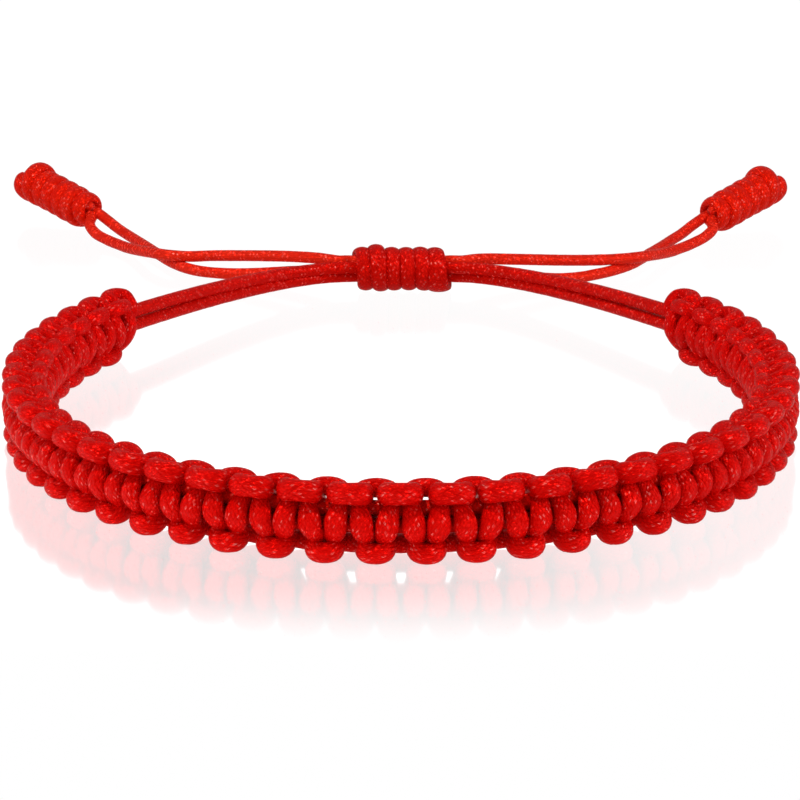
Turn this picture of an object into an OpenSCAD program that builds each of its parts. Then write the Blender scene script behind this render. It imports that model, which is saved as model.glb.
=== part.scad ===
// Knotted string bracelet: a flat band of square knots round two core cords,
// closed at the back by a sliding wrapped knot, with four tails and two end knots.
// The bracelet lies on a surface at z = 0, with the middle of its front towards -Y.

/* [Oval] */
// Half width of the oval that the middle of the band follows
oval_half_w = 30.8; // [28:0.1:34]
// Half depth of that oval, from its centre to the front
oval_half_d = 34; // [32:0.1:38]
// How far the back half of the oval is drawn in
oval_egg = 0.6; // [0:0.1:1.5]

/* [Knotted band] */
// Square knots along the band
knots = 40; // [36:1:42]
// Length of one square knot along the band
knot_pitch = 3.56; // [3.5:0.02:3.7]
// Height of an edge loop's middle above or below the middle of the band
loop_height = 2.26; // [2.2:0.02:2.4]
// How far the strands lean out towards the edge loops
loop_flare = 0.085; // [0:0.005:0.12]
// How far a strand runs on along the band as it turns round an edge
loop_run = 1.02; // [0.95:0.01:1.06]
// How much that run is gathered at the edges
loop_gather = 0.24; // [0.2:0.01:0.28]
// Distance of a bar's middle from the middle of the band, through its thickness
bar_out = 1.46; // [1.42:0.02:1.6]
// The same distance where a strand passes from bar to loop, on the other side
shoulder_in = 0.1; // [0:0.02:0.14]
// The same distance at the edge loops, on the other side
loop_in = 1.26; // [1.2:0.02:1.4]

/* [Knotting cord] */
// Half width of the cord where it lies as a bar across the band
bar_half_w = 0.83; // [0.7:0.01:0.86]
// Half thickness of the cord there
bar_half_t = 0.47; // [0.4:0.01:0.5]
// Half width of the cord between bar and loop
shoulder_half_w = 0.43; // [0.36:0.01:0.46]
// Half thickness of the cord there
shoulder_half_t = 0.44; // [0.38:0.01:0.47]
// Half width and half thickness of the cord in an edge loop
loop_half_w = 0.68; // [0.56:0.01:0.7]

/* [Core cords and tails] */
// Diameter of the core cords, which run on as the tails
cord_d = 1; // [0.9:0.02:1.04]
// Distance between the two core cords, middle to middle
core_spacing = 1.06; // [1.04:0.01:1.1]
// Free length of the core cords beyond the last edge loops, inside the oval's line
core_lead = 1.4; // [1:0.1:2]

/* [Slide knot] */
// Distance of the slide knot's axis from the centre of the oval
slide_y = 41.8; // [41:0.1:43]
// Length of the slide knot
slide_len = 9.6; // [9:0.1:10]
// Turns of cord in the slide knot
slide_turns = 6.4; // [5.4:0.1:6.4]
// Half width of a wrap along the slide knot
slide_wrap_w = 0.6; // [0.5:0.01:0.62]
// Half thickness of a wrap
slide_wrap_t = 0.47; // [0.4:0.01:0.5]
// Lean of the bundle of four cords where it enters the slide knot
bundle_lean = 25; // [0:5:40]

/* [End knots] */
// Length of an end knot
end_len = 12.2; // [11:0.1:12.6]
// Turns of cord in an end knot
end_turns = 7.4; // [6:0.1:7.4]
// Half width of a wrap along the end knot
end_wrap_w = 0.67; // [0.5:0.01:0.68]
// Half thickness of a wrap
end_wrap_t = 0.54; // [0.4:0.01:0.56]
// Angle by which the springy tails lift the tip of an end knot
end_lift = 8; // [5:1:10]

/* [Hidden] */

cord_red = [0.8, 0.03, 0.03];
deep_red = [0.7, 0.02, 0.02];

// Clearance that keeps neighbouring cords separate solids
cord_gap = 0.04;
cord_r = cord_d / 2;
core_r = cord_r - cord_gap;
half_turn = 180;
whole_turn = 360;
radian = half_turn / PI;

// Sides of each cord's section, and the angles of the rings in a quarter of a knot
cord_sides = 6;
thin_sides = 5;
tail_sides = 8;
knot_ring_angles = [0, 33, 61];
wrap_ring_step = 40;

// The oval, and a table from length along it to the angle round it
oval_step = 2;
function oval(t) = [
    oval_half_w * sin(t),
    -oval_half_d * cos(t) + oval_egg * (cos(2 * t) - 1)
];
function oval_run(t) = [
    oval_half_w * cos(t),
    oval_half_d * sin(t) - 2 * oval_egg * sin(2 * t)
];
oval_table = [
    for (t = 0, s = 0; t <= half_turn; s = s + norm(oval(t + oval_step) - oval(t)), t = t + oval_step)
        [s, t]
];
function oval_angle(s) = sign(s) * lookup(abs(s), oval_table);

// A place s along the band, h above its middle and out of its outer face
function band_point(s, h, out) =
    let (t = oval_angle(s), run = oval_run(t) / norm(oval_run(t)), p = oval(t))
        [p.x + out * run.y, p.y - out * run.x, band_z + h];

// A value that passes smoothly from loop to shoulder to bar and back as phi turns
function along_knot(phi, loop, shoulder, bar) =
    (bar + loop) / 4 + shoulder / 2 + (loop - bar) / 2 * cos(2 * phi)
    + ((bar + loop) / 4 - shoulder / 2) * cos(4 * phi);

// Middle of the front knotting cord: phi is 0 at a lower edge loop and 180 at an upper one.
// Its parts are the length along the band, the height and the distance out.
function knot_path(phi) = [
    knot_pitch * phi / whole_turn + loop_run * sin(2 * phi) + loop_gather * sin(4 * phi),
    -(loop_height + loop_flare) * cos(phi) + loop_flare * cos(3 * phi),
    along_knot(phi, -loop_in, -shoulder_in, bar_out)
];
bar_swing = (bar_out + loop_in) / 2;
bar_square = (bar_out - loop_in) / 4 + shoulder_in / 2;
function knot_run(phi) = [
    knot_pitch / whole_turn * radian + 2 * loop_run * cos(2 * phi) + 4 * loop_gather * cos(4 * phi),
    (loop_height + loop_flare) * sin(phi) - 3 * loop_flare * sin(3 * phi),
    2 * bar_swing * sin(2 * phi) - 4 * bar_square * sin(4 * phi)
];

// Axes of the section: one across the cord in the plane of height and thickness, which turns
// evenly round the edge loops, and one square to it and to the cord
function unit(v) = v / norm(v);
function knot_thin_axis(phi) = unit([
    0,
    (4 * bar_swing - 16 * bar_square * cos(2 * phi)) * cos(phi),
    3 * loop_flare * (1 + 2 * cos(2 * phi)) - loop_height - loop_flare
]);
function knot_section(phi) =
    let (
        thin = knot_thin_axis(phi),
        wide = unit(cross(thin, knot_run(phi))),
        half_w = along_knot(phi, loop_half_w, shoulder_half_w, bar_half_w),
        half_t = along_knot(phi, loop_half_w, shoulder_half_t, bar_half_t)
    ) [
        for (j = [0:cord_sides - 1])
            let (k = whole_turn * (j + 0.5) / cord_sides)
                knot_path(phi) + wide * half_w * cos(k) + thin * half_t * sin(k)
    ];

// Angles of the rings in one quarter of a knot, where even quarters start at a loop and odd
// ones at a bar, and over the whole of a cord that turns so far to each side of the front.
// The front cord ends behind the last knot, and the back cord in the edge loop beyond it.
knot_quarter = half_turn / 2;
front_cord_turn = (knots - 1) * half_turn + 30;
back_cord_turn = knots * half_turn + 20;
function quarter_angles(q) =
    q % 2 == 0 ? knot_ring_angles : [0, knot_quarter - knot_ring_angles[2], knot_quarter - knot_ring_angles[1]];
function knot_angles(turn) =
    let (inner = [
        for (q = [-2 * knots - 2:2 * knots + 2], a = quarter_angles(q))
            let (phi = knot_quarter * q + a)
                if (abs(phi) < turn - knot_ring_angles[1] / 2) phi
    ]) concat([-turn], inner, [turn]);

// The band stands on the surface: its lowest loops touch z = 0
sample_points = [for (phi = knot_angles(whole_turn)) each knot_section(phi)];
band_z = -min([for (v = sample_points) v.y]);
band_half_t = max([for (v = sample_points) abs(v.z)]);

// Rings of points as one closed solid
function ring_faces(rings, sides) = concat(
    [[for (j = [0:sides - 1]) j]],
    [
        for (i = [0:rings - 2], j = [0:sides - 1])
            let (a = i * sides + j, b = i * sides + (j + 1) % sides)
                each [[a, a + sides, b], [b, a + sides, b + sides]]
    ],
    [[for (j = [sides - 1:-1:0]) (rings - 1) * sides + j]]
);
module ring_solid(rings) {
    sides = len(rings[0]);
    polyhedron(points = [for (r = rings) each r], faces = ring_faces(len(rings), sides));
}

// Rings of a round cord along a route that is never upright
function route_run(route, i) =
    unit(route[min(i + 1, len(route) - 1)] - route[max(i - 1, 0)]);
function route_rings(route, r, sides) = [
    for (i = [0:len(route) - 1])
        let (
            run = route_run(route, i),
            side = unit(cross(run, [0, 0, 1])),
            up = cross(side, run)
        ) [
            for (j = [0:sides - 1])
                let (k = whole_turn * (j + 0.5) / sides)
                    route[i] + up * r * cos(k) + side * r * sin(k)
        ]
];

// Rings of a flattened cord wound round the X axis from one place to another, from underneath
function coil_rings(from_x, to_x, turns, r, half_w, half_t) =
    let (steps = ceil(turns * whole_turn / wrap_ring_step), climb = (to_x - from_x) / (turns * whole_turn)) [
        for (i = [0:steps])
            let (
                a = turns * whole_turn * i / steps,
                out = [0, sin(a), -cos(a)],
                run = unit([climb * radian, r * cos(a), r * sin(a)]),
                side = cross(run, out)
            ) [
                for (j = [0:thin_sides - 1])
                    let (k = whole_turn * j / thin_sides)
                        [from_x + climb * a, 0, 0] + out * r + out * half_t * cos(k) + side * half_w * sin(k)
            ]
    ];

// The bundle of four cords inside the slide knot makes half a turn on its way through,
// so that each pair of core cords comes out behind the other pair as tails
bundle_r = core_spacing / sqrt(2);
slide_wrap_r = (bundle_r + cord_r) / cos(wrap_ring_step / 2) + slide_wrap_t;
slide_z = slide_wrap_r + slide_wrap_t;
slide_half = slide_len / 2;
core_upper_angle = 135 + bundle_lean;
core_lower_angle = 225 + bundle_lean;
function bundle_point(x, angle) = [
    x,
    slide_y + bundle_r * cos(angle + knot_quarter * (x / slide_half + 1)),
    slide_z + bundle_r * sin(angle + knot_quarter * (x / slide_half + 1))
];

// The free core cords run in one sweep from the end of the band to the mouth of the slide knot
free_steps = 8;
free_pull_band = 6;
free_pull_knot = 7;
bundle_steps = 4;
// Straight ends of the core cords outside the slide knot, where the tails take over
bundle_stub = 0.6;
core_step = 4;
band_end = knots * knot_pitch / 2 + core_lead;
band_steps = round(2 * band_end / core_step);
function free_point(u, from, from_run, to, to_run) =
    pow(1 - u, 3) * from + 3 * u * pow(1 - u, 2) * (from + from_run * free_pull_band)
    + 3 * u * u * (1 - u) * (to - to_run * free_pull_knot) + pow(u, 3) * to;
function free_route(side, h, angle) =
    let (
        from = band_point(side * band_end, h, 0),
        from_run = unit(band_point(side * (band_end + 1), h, 0) - from),
        mouth = bundle_point(-slide_half, angle),
        to = [-side * mouth.x, mouth.y, mouth.z]
    ) [for (i = [1:free_steps]) free_point(i / (free_steps + 1), from, from_run, to, [-side, 0, 0])];
function reversed(list) = [for (i = [len(list) - 1:-1:0]) list[i]];
function stub(x, angle) = bundle_point(x, angle) + [sign(x) * bundle_stub, 0, 0];
function core_route(h, angle) = concat(
    [stub(slide_half, angle)],
    [for (i = [0:bundle_steps]) bundle_point(slide_half - i * slide_len / bundle_steps, angle)],
    reversed(free_route(-1, h, angle)),
    [for (i = [0:band_steps]) band_point(-band_end + 2 * band_end * i / band_steps, h, 0)],
    free_route(1, h, angle),
    [for (i = [0:bundle_steps]) bundle_point(slide_half - i * slide_len / bundle_steps, angle + half_turn)],
    [stub(-slide_half, angle + half_turn)]
);

// The end knots: place of the middle of the face that the tails enter, and compass direction
end_left = [-33.5, 67.3, 2.05];
end_left_heading = 131;
end_right = [33.4, 65.3, 2.05];
end_right_heading = 50;
end_inner_r = core_spacing / 2;
// Lean of the line between the two cords inside an end knot
end_lean = 10;
end_wrap_r = (end_inner_r + core_r) / cos(wrap_ring_step / 2) + end_wrap_t;
function end_axis(heading) = [cos(heading) * cos(end_lift), sin(heading) * cos(end_lift), sin(end_lift)];
function end_across(heading, side) =
    side * cos(end_lean) * [sin(heading), -cos(heading), 0]
    + sin(end_lean) * [-cos(heading) * sin(end_lift), -sin(heading) * sin(end_lift), cos(end_lift)];

// Routes of the tails between the two knots, chosen by eye
left_upper_points = [
    [-8.2, 43.2, 3], [-10.8, 44.5, 2.85], [-13.5, 46, 2.55], [-16.3, 47.5, 2.2], [-19.1, 48.9, 1.85],
    [-21.6, 49.6, 1.6], [-24, 50.5, 1.55], [-25.8, 52.4, 1.35], [-27.2, 54.9, 0.95], [-28.5, 57.3, 0.6],
    [-29.9, 59.4, 0.52], [-31.3, 61.1, 0.65], [-32.5, 62.5, 0.95], [-33.3, 64.2, 1.45]
];
left_lower_points = [
    [-8.1, 43.4, 1.7], [-10.6, 44.4, 1.35], [-13.2, 45.4, 0.95], [-15.8, 46.2, 0.65], [-18.3, 46.9, 0.52],
    [-20.4, 47.8, 0.52], [-22.1, 49.4, 0.52], [-23.6, 51.7, 0.52], [-25, 54.6, 0.52], [-26.3, 57.4, 0.52],
    [-27.6, 60.1, 0.55], [-28.9, 62.5, 0.65], [-30.2, 64.4, 0.95], [-31.4, 65.9, 1.45]
];
right_upper_points = [
    [8.2, 42.9, 3], [10.8, 43.6, 2.8], [13.5, 44.6, 2.5], [16.2, 45.8, 2.15], [18.8, 47.2, 1.8],
    [21.3, 48.3, 1.6], [23.7, 49.2, 1.55], [25.5, 51, 1.35], [26.9, 53.4, 0.95], [28.2, 55.8, 0.6],
    [29.6, 57.8, 0.52], [31, 59.5, 0.65], [32.3, 60.9, 0.95], [33.3, 62.5, 1.45]
];
right_lower_points = [
    [8, 43.1, 1.7], [10.5, 43.6, 1.3], [13, 43.9, 0.9], [15.6, 44.3, 0.62], [17.9, 45.2, 0.52],
    [19.8, 46.5, 0.52], [21.6, 48.1, 0.52], [23.4, 50.3, 0.52], [24.8, 52.9, 0.52], [26.2, 55.8, 0.52],
    [27.5, 58.3, 0.55], [28.7, 60.6, 0.65], [30, 62.4, 0.95], [31.2, 63.9, 1.45]
];
tail_lead = 0.8;
tail_gap = 0.05;
function tail_route(side, angle, points, end, heading, over) =
    let (
        mouth = bundle_point(-slide_half, angle),
        start = [side * (slide_half + bundle_stub + tail_gap), mouth.y, mouth.z],
        stop = end + over * end_inner_r * end_across(heading, -side) - tail_gap * end_axis(heading)
    ) concat(
        [start, start + [side * tail_lead, 0, 0]], points,
        [stop - tail_lead * end_axis(heading), stop]
    );

// Everything is set so that the bracelet without its tails is centred on the origin
middle_y = (slide_y + slide_wrap_r + slide_wrap_t - oval_half_d - band_half_t) / 2;
module placed() {
    translate([0, -middle_y, 0]) children();
}

// One of the two knotting cords. The second is the first given half a turn about the band's middle.
module knotting_cord(turned, turn) {
    placed() ring_solid([
        for (phi = knot_angles(turn)) [
            for (v = knot_section(phi)) band_point(v.x, turned * v.y, turned * v.z)
        ]
    ]);
}
module core_cord(h, angle) {
    placed() ring_solid(route_rings(core_route(h, angle), core_r, thin_sides));
}
module tail(route) {
    placed() ring_solid(route_rings(route, cord_r, tail_sides));
}

// An end knot in its own frame, from the tails' face at x = 0 to the tip: two cords inside
// and one cord wound round them
module end_knot_shape(side) {
    for (turn = [0, half_turn])
        rotate([turn + side * end_lean, 0, 0])
            ring_solid(route_rings([[0, end_inner_r, 0], [end_len, end_inner_r, 0]], core_r, thin_sides));
    ring_solid([
        for (r = coil_rings(end_wrap_w, end_len - end_wrap_w, end_turns, end_wrap_r, end_wrap_w, end_wrap_t))
            side > 0 ? r : [for (i = [len(r) - 1:-1:0]) [r[i].x, -r[i].y, r[i].z]]
    ]);
}
module end_knot(place, heading, side) {
    placed() translate(place) rotate([0, 0, heading]) rotate([0, -end_lift, 0]) end_knot_shape(side);
}

module knotting_cord_front() {
    color(cord_red) knotting_cord(1, front_cord_turn);
}
module knotting_cord_back() {
    color(deep_red) knotting_cord(-1, back_cord_turn);
}
module core_cord_upper() {
    color(cord_red) core_cord(core_spacing / 2, core_upper_angle);
}
module core_cord_lower() {
    color(cord_red) core_cord(-core_spacing / 2, core_lower_angle);
}
module slide_knot() {
    color(deep_red) placed() translate([0, slide_y, slide_z])
        ring_solid(coil_rings(-slide_half + slide_wrap_w, slide_half - slide_wrap_w, slide_turns,
            slide_wrap_r, slide_wrap_w, slide_wrap_t));
}
module tail_left_upper() {
    color(cord_red)
        tail(tail_route(-1, core_lower_angle + half_turn, left_upper_points, end_left, end_left_heading, -1));
}
module tail_left_lower() {
    color(cord_red)
        tail(tail_route(-1, core_upper_angle + half_turn, left_lower_points, end_left, end_left_heading, 1));
}
module tail_right_upper() {
    color(cord_red)
        tail(tail_route(1, core_lower_angle + half_turn, right_upper_points, end_right, end_right_heading, -1));
}
module tail_right_lower() {
    color(cord_red)
        tail(tail_route(1, core_upper_angle + half_turn, right_lower_points, end_right, end_right_heading, 1));
}
module end_knot_left() {
    color(deep_red) end_knot(end_left, end_left_heading, 1);
}
module end_knot_right() {
    color(deep_red) end_knot(end_right, end_right_heading, -1);
}

knotting_cord_front();
knotting_cord_back();
core_cord_upper();
core_cord_lower();
slide_knot();
tail_left_upper();
tail_left_lower();
tail_right_upper();
tail_right_lower();
end_knot_left();
end_knot_right();
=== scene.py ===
"""A knotted string bracelet of red braided nylon on a pale glossy surface.

The band is a chain of square knots: two knotting cords cross in front of and behind a pair of core cords.
The core cords leave the band at both ends, run through a wrapped slide knot at the back, and end as four
tails in two barrel knots. Every strand is swept by Geometry Nodes along its own path, in metres.
"""

import logging
import math
from collections.abc import Callable
from dataclasses import dataclass, field, fields
from enum import Enum
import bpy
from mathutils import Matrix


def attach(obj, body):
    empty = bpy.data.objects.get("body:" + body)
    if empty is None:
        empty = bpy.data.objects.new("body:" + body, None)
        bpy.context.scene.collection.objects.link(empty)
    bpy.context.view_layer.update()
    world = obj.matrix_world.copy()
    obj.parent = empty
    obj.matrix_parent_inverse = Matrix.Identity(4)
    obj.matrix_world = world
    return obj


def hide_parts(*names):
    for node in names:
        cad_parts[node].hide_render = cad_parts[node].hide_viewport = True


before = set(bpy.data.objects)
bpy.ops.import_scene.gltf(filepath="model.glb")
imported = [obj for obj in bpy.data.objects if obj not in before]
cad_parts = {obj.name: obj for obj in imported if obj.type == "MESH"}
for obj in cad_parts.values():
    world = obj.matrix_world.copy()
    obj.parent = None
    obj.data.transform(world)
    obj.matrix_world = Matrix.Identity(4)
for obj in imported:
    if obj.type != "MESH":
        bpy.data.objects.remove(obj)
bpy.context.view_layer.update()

from types import SimpleNamespace

import bpy
from mathutils import Vector

LOG = logging.getLogger("bracelet")
BODY = "root"

MM = 0.001
TURN = 2 * math.pi
Point = tuple[float, float, float]

# A cord that presses on the surface is flattened so far above it
REST_GAP = 0.01 * MM

# The middle of the band's oval lies this far in front of the object's own origin
OVAL_CENTRE = Vector((0, -0.004068, 0))


class TreeKind(Enum):
    """The kinds of node tree that are built here."""

    SHAPE = "GeometryNodeTree"
    SHADER = "ShaderNodeTree"


class Socket(Enum):
    """The kinds of value that a tree takes in or gives out."""

    NUMBER = "NodeSocketFloat"
    COUNT = "NodeSocketInt"
    VECTOR = "NodeSocketVector"
    SHAPE = "NodeSocketGeometry"
    MATERIAL = "NodeSocketMaterial"


class Direction(Enum):
    """The side of the slide knot, or the way that a coil is wound."""

    LEFT = -1
    RIGHT = 1


def operation(name: str) -> Callable[..., "Wire"]:
    """Makes a wire's method for one step of arithmetic.

    Args:
        name: The name of the operation.

    Returns:
        The method.
    """
    def method(self: "Wire", *others: "Wire | float | Point") -> "Wire":
        """Works the step out."""
        return self.combine(name, *others)

    return method


class Wire:
    """One value in a node tree, with the signs of plain arithmetic.

    The size of a number leaves out its sign, its part is what it has over its whole part, over gives 1 where
    this is larger than the other and 0 elsewhere, and unit is a vector drawn out to length 1.
    """

    __add__ = __radd__ = operation("ADD")
    __sub__ = operation("SUBTRACT")
    __mul__ = __rmul__ = operation("MULTIPLY")
    __truediv__ = operation("DIVIDE")
    sin = operation("SINE")
    cos = operation("COSINE")
    root = operation("SQRT")
    size = operation("ABSOLUTE")
    sign = operation("SIGN")
    whole = operation("FLOOR")
    part = operation("FRACT")
    power = operation("POWER")
    least = operation("MINIMUM")
    most = operation("MAXIMUM")
    over = operation("GREATER_THAN")
    unit = operation("NORMALIZE")
    cross = operation("CROSS_PRODUCT")

    def __init__(self, tree: "Tree", socket: bpy.types.NodeSocket) -> None:
        """Keeps the socket that gives the value.

        Args:
            tree: The tree that the socket is in.
            socket: An output socket.
        """
        self.tree = tree
        self.socket = socket
        self.vector = socket.type == "VECTOR"

    def combine(self, name: str, *others: "Wire | float | Point") -> "Wire":
        """Works out one step of arithmetic.

        Args:
            name: The name of the operation.
            others: The other values in it.

        Returns:
            The result.
        """
        values = (self, *others)
        vector = any(v.vector if isinstance(v, Wire) else isinstance(v, tuple) for v in values)
        node = self.tree.nodes.new("ShaderNodeVectorMath" if vector else "ShaderNodeMath")
        node.operation = name
        for place, value in enumerate(values):
            if vector and isinstance(value, (int, float)):
                value = (value, value, value)
            self.tree.feed(node.inputs[place], value)
        return Wire(self.tree, node.outputs["Vector" if vector else "Value"])

    def __rsub__(self, other: float) -> "Wire":
        """Takes this from a number."""
        return -self + other

    def __neg__(self) -> "Wire":
        """Turns the sign."""
        return self * -1.0

    def parts(self) -> tuple["Wire", "Wire", "Wire"]:
        """The three parts of a vector."""
        node = self.tree.node("ShaderNodeSeparateXYZ", {"Vector": self})
        return tuple(Wire(self.tree, socket) for socket in node.outputs)


def title(name: str) -> str:
    """The name that a tree's input has for a field, such as Bar Out for bar_out."""
    return name.replace("_", " ").title()


def by_title(sizes: object) -> dict[str, float]:
    """The sizes in a dataclass, by the names of a tree's inputs."""
    return {title(item.name): getattr(sizes, item.name) for item in fields(sizes)}


class Tree:
    """A node tree that is being built: a material's own, or a group with named inputs and outputs."""

    def __init__(self, tree: bpy.types.NodeTree) -> None:
        """Keeps the tree.

        Args:
            tree: Blender's own tree.
        """
        self.group = tree
        self.nodes = tree.nodes
        self.source = self.sink = None

    @classmethod
    def named(cls, name: str, kind: TreeKind) -> "Tree":
        """Starts an empty group.

        Args:
            name: The group's name.
            kind: What it is for.

        Returns:
            The group, with nodes for its inputs and outputs.
        """
        tree = cls(bpy.data.node_groups.new(name, kind.value))
        tree.source = tree.nodes.new("NodeGroupInput")
        tree.sink = tree.nodes.new("NodeGroupOutput")
        return tree

    def feed(self, socket: bpy.types.NodeSocket, value: object) -> None:
        """Joins a value to a socket, or sets it there.

        Args:
            socket: The input socket.
            value: A wire, or a plain value.
        """
        if isinstance(value, Wire):
            self.group.links.new(value.socket, socket)
        elif value is not None:
            socket.default_value = value

    def take(self, name: str, kind: Socket, default: object = None) -> Wire:
        """Adds a named input.

        Args:
            name: The input's name.
            kind: What it holds.
            default: Its value where none is given.

        Returns:
            The input's value inside the group.
        """
        made = self.group.interface.new_socket(name, in_out="INPUT", socket_type=kind.value)
        if default is not None:
            made.default_value = default
        return Wire(self, self.source.outputs[name])

    def sizes(self, kind: type) -> SimpleNamespace:
        """Adds an input for each size in a dataclass, and gives their values by the names of the fields."""
        return SimpleNamespace(**{
            item.name: self.take(title(item.name), Socket.NUMBER, 0.0) for item in fields(kind)
        })

    def give(self, name: str, kind: Socket, value: Wire) -> None:
        """Adds a named output of one kind, which gives the value."""
        self.group.interface.new_socket(name, in_out="OUTPUT", socket_type=kind.value)
        self.feed(self.sink.inputs[name], value)

    def node(self, kind: str, inputs: dict[str, object] | None = None, **settings: object) -> bpy.types.Node:
        """Adds a node.

        Args:
            kind: The node's type.
            inputs: Values for its inputs, by name.
            settings: Values for its own settings.

        Returns:
            The node.
        """
        made = self.nodes.new(kind)
        for name, value in settings.items():
            setattr(made, name, value)
        for name, value in (inputs or {}).items():
            self.feed(next(s for s in made.inputs if s.name == name and s.enabled), value)
        return made

    def out(self, node: bpy.types.Node, name: str | int = 0) -> Wire:
        """The value that a node gives."""
        return Wire(self, node.outputs[name])

    def made(self, kind: str, inputs: dict[str, object] | None = None, **settings: object) -> Wire:
        """Adds a node and takes its first value."""
        return self.out(self.node(kind, inputs, **settings))

    def join(self, x: Wire | float, y: Wire | float, z: Wire | float = 0.0) -> Wire:
        """A vector of three numbers."""
        return self.made("ShaderNodeCombineXYZ", {"X": x, "Y": y, "Z": z})

    def blend(self, share: Wire, first: Wire | Point, second: Wire | Point) -> Wire:
        """Blends two colours.

        Args:
            share: The share of the second.
            first: The first colour.
            second: The second colour.

        Returns:
            The blend.
        """
        first, second = (value if isinstance(value, Wire) else (*value, 1.0) for value in (first, second))
        node = self.node("ShaderNodeMix", {"Factor": share, "A": first, "B": second}, data_type="RGBA")
        return Wire(self, next(s for s in node.outputs if s.enabled))

    def position(self) -> Wire:
        """The place of each point."""
        return self.made("GeometryNodeInputPosition")

    def line(self, count: Wire | int) -> Wire:
        """A line of points to be moved to their places."""
        return self.made("GeometryNodeMeshLine", {"Count": count}, mode="OFFSET")

    def keep(self, shape: Wire, values: dict[str, Wire]) -> tuple[Wire, dict[str, Wire]]:
        """Keeps values with the points of a shape as they are now.

        Args:
            shape: The shape.
            values: What to keep, by name.

        Returns:
            The shape, and each kept value.
        """
        node = self.node("GeometryNodeCaptureAttribute", domain="POINT")
        for name, value in values.items():
            node.capture_items.new("VECTOR" if value.vector else "FLOAT", name)
        self.feed(node.inputs["Geometry"], shape)
        for name, value in values.items():
            self.feed(node.inputs[name], value)
        return self.out(node, "Geometry"), {name: self.out(node, name) for name in values}

    def place(self, shape: Wire, position: Wire) -> Wire:
        """Moves each point of a shape to a position."""
        return self.made("GeometryNodeSetPosition", {"Geometry": shape, "Position": position})

    def hand_over(self, shape: Wire) -> None:
        """Ends a shape tree with plain geometry in a material, flat where it rests on the surface.

        Args:
            shape: The shape.
        """
        material = self.take("Material", Socket.MATERIAL)
        x, y, z = self.position().parts()
        shape = self.place(shape, self.join(x, y, z.most(REST_GAP)))
        plain = self.made("GeometryNodeRealizeInstances", {"Geometry": shape})
        dressed = self.made("GeometryNodeSetMaterial", {"Geometry": plain, "Material": material})
        self.give("Geometry", Socket.SHAPE, dressed)

    def wobble(self, along: Wire, detail: float = 1.0) -> Wire:
        """A smooth random number from about -0.5 to 0.5 that changes along a strand."""
        return self.noise(along, detail) - 0.5

    def noise(self, along: Wire, detail: float = 1.0) -> Wire:
        """A smooth random number from about 0 to 1 that changes along a strand."""
        return self.made("ShaderNodeTexNoise", {"W": along, "Scale": 1.0, "Detail": detail},
                         noise_dimensions="1D")


class StrandSkin:
    """The group that puts a skin of oval sections on a path, closes its ends and lays a map on it."""

    MAP = "UVMap"
    LUMP_LENGTH = 1.4 * MM
    SEED_STEP = 17.3
    MERGED_WITHIN = 0.002 * MM

    def __init__(self) -> None:
        """Builds the group."""
        self.tree = t = Tree.named("Strand Skin", TreeKind.SHAPE)
        path = t.take("Path", Socket.SHAPE)
        wide = t.take("Wide Axis", Socket.VECTOR)
        thin = t.take("Thin Axis", Socket.VECTOR)
        half_width = t.take("Half Width", Socket.NUMBER, 0.75 * MM)
        half_thickness = t.take("Half Thickness", Socket.NUMBER, 0.75 * MM)
        end_round = t.take("End Rounding", Socket.NUMBER, 0.5 * MM)
        sides = t.take("Sides", Socket.COUNT, 16)
        unevenness = t.take("Unevenness", Socket.NUMBER, 0.04)
        seed = t.take("Seed", Socket.NUMBER, 0.0)

        along = t.out(t.node("GeometryNodeSplineParameter"), "Length")
        to_end = along.least(t.made("GeometryNodeSplineLength") - along)
        curl = (1.0 - to_end / end_round).most(0.0)
        rounding = (1.0 - curl * curl).most(0.0).root()
        lumps = 1.0 + unevenness * 2.0 * t.wobble(along / self.LUMP_LENGTH + seed * self.SEED_STEP, 2.0)
        swell = rounding * lumps
        path, kept = t.keep(path, {
            "middle": t.position(), "wide": wide * half_width * swell, "thin": thin * half_thickness * swell,
            "along": along,
        })
        ring = t.made("GeometryNodeCurveArc", {
            "Resolution": sides + 1, "Radius": 1.0, "Start Angle": 0.0, "Sweep Angle": TURN,
        })
        ring, round_kept = t.keep(ring, {"factor": t.made("GeometryNodeSplineParameter")})
        tube = t.made("GeometryNodeCurveToMesh", {"Curve": path, "Profile Curve": ring})
        angle = round_kept["factor"] * TURN
        tube = t.place(tube, kept["middle"] + kept["wide"] * angle.cos() + kept["thin"] * angle.sin())
        tube = t.made("GeometryNodeStoreNamedAttribute", {
            "Geometry": tube, "Name": self.MAP, "Value": t.join(kept["along"] / MM, round_kept["factor"]),
        }, data_type="FLOAT2", domain="CORNER")
        tube = t.made("GeometryNodeMergeByDistance", {"Geometry": tube, "Distance": self.MERGED_WITHIN})
        t.give("Mesh", Socket.SHAPE, t.made("GeometryNodeSetShadeSmooth", {"Geometry": tube}))

    def cover(self, t: Tree, path: Wire, values: dict[str, object]) -> Wire:
        """Puts the skin on a path in another tree, with the group's other inputs given by name."""
        return t.made("GeometryNodeGroup", {"Path": path, **values}, node_tree=self.tree.group)


def linked(name: str, data: bpy.types.ID) -> bpy.types.Object:
    """Makes an object and puts it in the scene."""
    made = bpy.data.objects.new(name, data)
    bpy.context.scene.collection.objects.link(made)
    return made


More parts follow.
